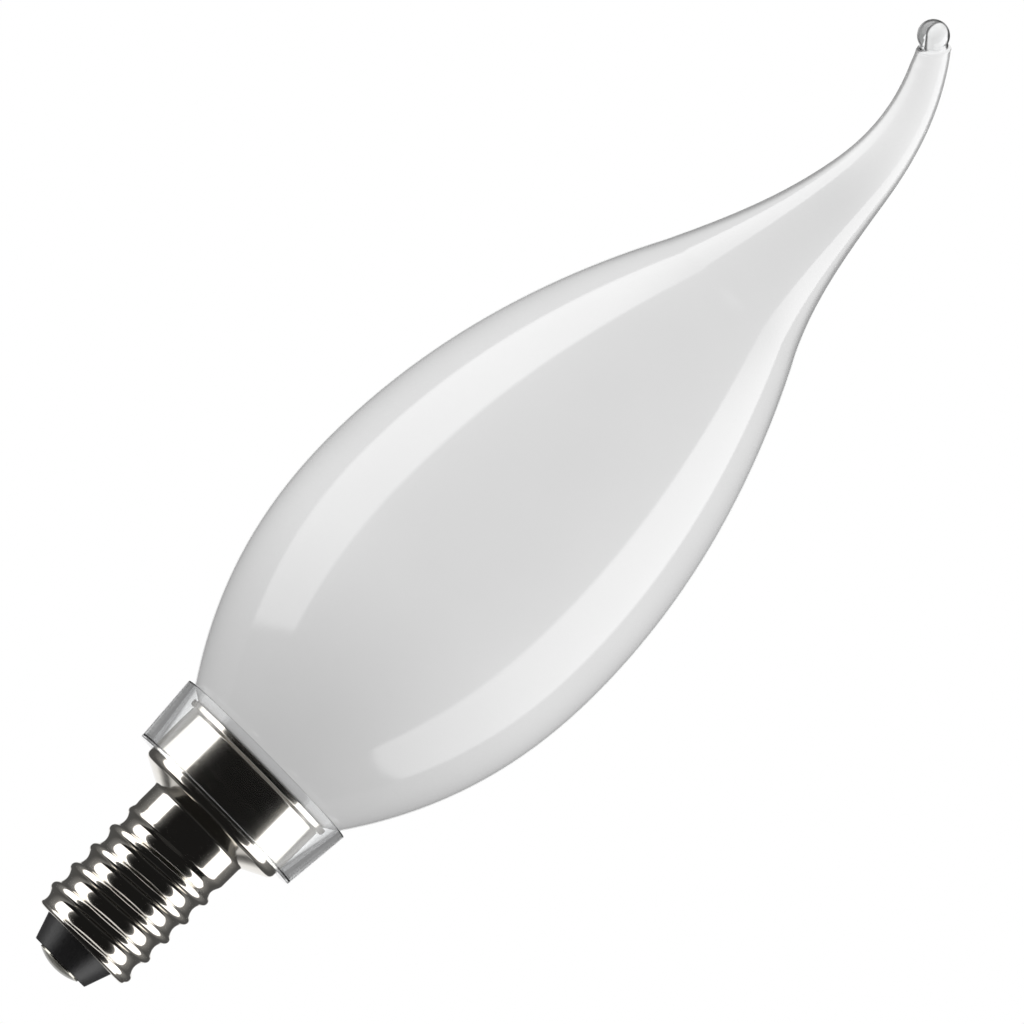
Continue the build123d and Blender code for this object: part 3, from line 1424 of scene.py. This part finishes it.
@dataclass(frozen=True)
class LightTent:
    """Studio round the bulb, as its mirrors and clear pieces show it.

    It is black in front, has a tall strip light at each side, and is grey beyond the strips up to the white
    background behind. Azimuths are in degrees from the camera's direction, to the right above 0 and to the
    left below, and elevations in degrees above the horizon. Brightness 1 is white.

    Attributes:
        reach: radius in metres.
        black: brightness in front.
        strips: the strip lights at the right and at the left.
        strip_glow: brightness of the strips, low, at the middle and high.
        strip_rise: elevations between which it goes from the first to the second.
        strip_fall: elevations between which it goes from the second to the third.
        strip_fade: share that is left at a strip's outer edge.
        strip_edge: degrees over which the grey starts beyond that edge.
        halo: brightness just inside a strip's inner edge.
        halo_width: degrees over which it falls to about a third.
        window: azimuth at which the white background starts, at either side.
        window_foot: elevation of its foot.
        ledge_start: azimuth at which the pale ledge under it starts, at either side.
        ledge: elevations of the ledge.
        ledge_glow: brightness of the ledge.
        ring: elevations of the pale ring overhead.
        ring_glow: brightness of the ring.
        soft: width of the soft edges.
        pole_gap: degrees from the last circle of points to straight up or down.
        rows: circles of points.
        columns: points on each circle.
    """

    reach: float = 0.7
    black: float = 0.012
    strips: tuple[StripLight, StripLight] = (
        StripLight(67.5, 109.3, -40.0, -29.0, outer_slant=0.17),
        StripLight(64.1, 105.8, -34.2, -30.0, inner_slant=0.145),
    )
    strip_glow: Triple = (2.4, 3.4, 1.0)
    strip_rise: Limits = (-15.0, 20.0)
    strip_fall: Limits = (35.0, 60.0)
    strip_fade: float = 0.74
    strip_edge: float = 1.0
    halo: float = 0.3
    halo_width: float = 7.0
    window: float = 165.0
    window_foot: float = -38.5
    ledge_start: float = 150.0
    ledge: Limits = (-52.5, -42.0)
    ledge_glow: float = 0.75
    ring: Limits = (60.5, 78.0)
    ring_glow: float = 1.1
    soft: float = 3.0
    pole_gap: float = 1.0
    rows: int = 119
    columns: int = 240

    def past(self, value: np.ndarray, limit: float | np.ndarray) -> np.ndarray:
        """1 where a value is past a limit and 0 before it, with a soft edge."""
        return eased(value - limit, -self.soft / 2, self.soft / 2)

    def within(self, value: np.ndarray, low: float | np.ndarray, high: float | np.ndarray) -> np.ndarray:
        """1 where a value is between two limits and 0 outside them, with soft edges."""
        return self.past(value, low) * (1 - self.past(value, high))

    def glow(self, azimuth: np.ndarray, elevation: np.ndarray, shade: TentShade) -> np.ndarray:
        """Brightness of the tent.

        Each part covers what is before it by its own share: black, then the grey rear, which is palest
        beside the strips, the strips, whose glow rises with height and fades outwards, the white
        background, what is overhead and underneath, the ledge and the ring.

        Args:
            azimuth: degrees from the camera's direction.
            elevation: degrees above the horizon.
            shade: brightness of its plain parts.

        Returns:
            The brightness, where 1 is white.
        """
        turn = (azimuth + 180) % 360 - 180
        side = np.abs(turn)
        right, left = (astuple(strip) for strip in self.strips)
        inner, outer, foot_inner, foot_outer, top, inner_slant, outer_slant = (
            np.where(turn > 0, *values) for values in zip(right, left))
        inner = inner + inner_slant * elevation
        outer = outer + outer_slant * elevation
        across = np.clip((side - inner) / (outer - inner), 0, 1)
        foot = foot_inner + (foot_outer - foot_inner) * across ** 2
        tall = self.within(elevation, foot, top)
        low, middle, high = self.strip_glow
        level = low + (middle - low) * eased(elevation, *self.strip_rise)
        level = level + (high - middle) * eased(elevation, *self.strip_fall)
        strip = level * (1 - (1 - self.strip_fade) * across)
        past_margin = eased(side - outer - shade.margin_width, 0, shade.margin_fade)
        margin = shade.margin + (shade.rear - shade.margin) * past_margin
        ends = np.maximum(self.past(elevation, self.ring[0]), self.past(-elevation, -shade.foot))
        halo = self.halo * np.exp(-np.maximum(inner - side, 0) / self.halo_width) * tall
        light = np.maximum(self.black, halo)
        for share, value in (
            (eased(side - outer, 0, self.strip_edge), margin),
            (self.within(side, inner, outer) * tall, strip),
            (self.past(side, self.window) * self.past(elevation, self.window_foot), 1.0),
            (ends, shade.ends),
            (self.past(side, self.ledge_start) * self.within(elevation, *self.ledge), self.ledge_glow),
            (self.within(elevation, *self.ring), self.ring_glow),
        ):
            light = light + (value - light) * share
        return light

    def build(self, camera_azimuth: float, middle: float) -> None:
        """Hangs the tent, which only mirrors and clear pieces show.

        Args:
            camera_azimuth: azimuth of the camera in the frame.
            middle: height of the tent's middle in metres.
        """
        material = bpy.data.materials.new("light_tent")
        material.cycles.emission_sampling = "NONE"
        tree = NodeTree(material)
        mirror, through = (tree.attribute(view.name) for view in TentView)
        clear = tree.add("LightPath").outputs["Is Transmission Ray"]
        strength = tree.add("Mix", {0: clear, 2: mirror, 3: through}).outputs[0]
        tree.finish(tree.add("Emission", {"Color": rgba(1.0), "Strength": strength}))
        turn = np.arange(self.columns) * 360 / self.columns
        rise = np.linspace(self.pole_gap - 90, 90 - self.pole_gap, self.rows)
        azimuth, elevation = np.meshgrid(turn, rise)
        grid = towards(azimuth + camera_azimuth, elevation) * self.reach + np.array([0, 0, middle])
        tent = make_piece("light_tent", [Shell(grid / MM, Ends.POLES)], [material])
        azimuth = np.append(azimuth, [0, 0])
        elevation = np.append(elevation, [-90, 90])
        for view in TentView:
            give_attribute(tent, view.name, self.glow(azimuth, elevation, view.value))
        tent.visible_camera = False
        tent.visible_diffuse = False
        tent.visible_shadow = False


@dataclass
class Studio:
    """White background, light tent, two soft fill lamps, a pale floor and the camera.

    Angles are in degrees, distances in metres, and the lens and sensor in millimetres.

    Attributes:
        azimuth: azimuth of the camera about the bulb's axis, from -Y.
        elevation: elevation of the camera above the horizon.
        roll: turn of the camera about its line of sight.
        lens: focal length.
        sensor: width of the sensor.
        frame_width: width that the frame covers at the bulb.
        aim_height: height of the point that the camera looks at.
        aim_side: distance of that point to the right of the bulb's axis.
        sky: strength of the even light on the bulb.
        floor_drop: distance of the floor under the contact.
        floor_width: width of the floor.
        floor_grey: grey of the floor.
        floor_glow: brightness that is added to the floor where it is seen.
        fill_power: power of a fill lamp in watts.
        fill_distance: distance of a fill lamp, and its width.
    """

    azimuth: float = -36.0
    elevation: float = -4.5
    roll: float = 45.4
    lens: float = 300.0
    sensor: float = 36.0
    frame_width: float = 0.0963
    aim_height: float = 0.0606
    aim_side: float = -0.00031
    sky: float = 0.93
    floor_drop: float = 0.04
    floor_width: float = 3.0
    floor_grey: float = 0.8
    floor_glow: float = 0.35
    fill_power: float = 0.6
    fill_distance: float = 0.5

    def make_fill(self) -> None:
        """Puts a soft lamp at each side, which only lifts the sides of the glass a little."""
        for name, side in (("fill_left", -90.0), ("fill_right", 90.0)):
            light = bpy.data.lights.new(name, "AREA")
            light.energy = self.fill_power
            light.size = self.fill_distance
            lamp = bpy.data.objects.new(name, light)
            way = Vector(towards(side + self.azimuth, 0.0))
            lamp.location = way * self.fill_distance + Vector((0, 0, self.aim_height))
            lamp.rotation_euler = way.to_track_quat("Z", "Y").to_euler()
            lamp.visible_camera = False
            lamp.visible_glossy = False
            lamp.visible_transmission = False
            bpy.context.scene.collection.objects.link(lamp)

    def seen(self, tree: NodeTree) -> Socket:
        """Tells rays that are seen from those that only light the bulb.

        Args:
            tree: the tree of the world or of the floor.

        Returns:
            1 for rays from the camera, and for those that a mirror or clear piece sends on.
        """
        path = tree.add("LightPath").outputs
        straight = tree.calc("MAXIMUM", path["Is Camera Ray"], path["Is Glossy Ray"])
        return tree.calc("MAXIMUM", straight, path["Is Transmission Ray"])

    def make_world(self) -> None:
        """Makes a background that is seen as white and lights the bulb evenly."""
        world = bpy.data.worlds.new("studio")
        bpy.context.scene.world = world
        tree = NodeTree(world)
        strength = tree.between(self.seen(tree), self.sky, 1.0)
        tree.finish(tree.add("Background", {"Color": rgba(1.0), "Strength": strength}), "OutputWorld")

    def make_floor(self) -> None:
        """Lays a pale floor that is seen as white where no shadow falls, and is clear from underneath."""
        half = self.floor_width / 2
        level = CAD_BOX[0].z - self.floor_drop
        mesh = bpy.data.meshes.new("floor")
        corners = [(-half, -half, level), (half, -half, level), (half, half, level), (-half, half, level)]
        mesh.from_pydata(corners, [], [(0, 1, 2, 3)])
        floor = bpy.data.objects.new("floor", mesh)
        bpy.context.scene.collection.objects.link(floor)
        floor.visible_glossy = False
        floor.visible_transmission = False
        material = bpy.data.materials.new("floor")
        tree = NodeTree(material)
        glow = tree.between(self.seen(tree), 0.0, self.floor_glow)
        paint = tree.add("BsdfDiffuse", {"Color": rgba(self.floor_grey)})
        light = tree.add("Emission", {"Color": rgba(1.0), "Strength": glow})
        top = tree.add("AddShader", {0: paint.outputs[0], 1: light.outputs[0]})
        clear = tree.add("BsdfTransparent")
        behind = tree.add("NewGeometry").outputs["Backfacing"]
        tree.finish(tree.add("MixShader", {0: behind, 1: top.outputs[0], 2: clear.outputs[0]}))
        mesh.materials.append(material)

    def make_camera(self) -> None:
        """Sets the camera in front of the bulb and rolls it, so that the bulb lies across the frame."""
        roll = math.radians(self.roll)
        back = Vector(towards(self.azimuth, self.elevation))
        side = Vector(towards(self.azimuth + 90, 0.0))
        up = back.cross(side)
        right = side * math.cos(roll) + up * math.sin(roll)
        over = up * math.cos(roll) - side * math.sin(roll)
        distance = self.frame_width * self.lens / self.sensor
        place = Vector((0, 0, self.aim_height)) + side * self.aim_side + back * distance
        data = bpy.data.cameras.new("camera")
        data.lens = self.lens
        data.sensor_width = self.sensor
        camera = bpy.data.objects.new("camera", data)
        camera.matrix_world = Matrix((
            (right.x, over.x, back.x, place.x),
            (right.y, over.y, back.y, place.y),
            (right.z, over.z, back.z, place.z),
            (0, 0, 0, 1),
        ))
        bpy.context.scene.collection.objects.link(camera)
        bpy.context.scene.camera = camera
        log.info("camera %.3f m from the bulb, %.1f degrees below it", distance, -self.elevation)

    def build(self) -> None:
        """Sets up the background, tent, lamps, floor and camera."""
        bpy.context.scene.view_settings.view_transform = "Standard"
        self.make_world()
        LightTent().build(self.azimuth, self.aim_height)
        self.make_fill()
        self.make_floor()
        self.make_camera()


def main() -> None:
    """Builds the bulb's pieces and the studio."""
    logging.basicConfig(level=logging.INFO, format="%(name)s: %(message)s")
    glass = GlassEnvelope()
    for part in (glass, TipBead(glass), ClearCollar(glass), ScrewCap(), Insulator(), CentreContact()):
        part.build()
    Studio().build()


if __name__ == "__main__":
    main()
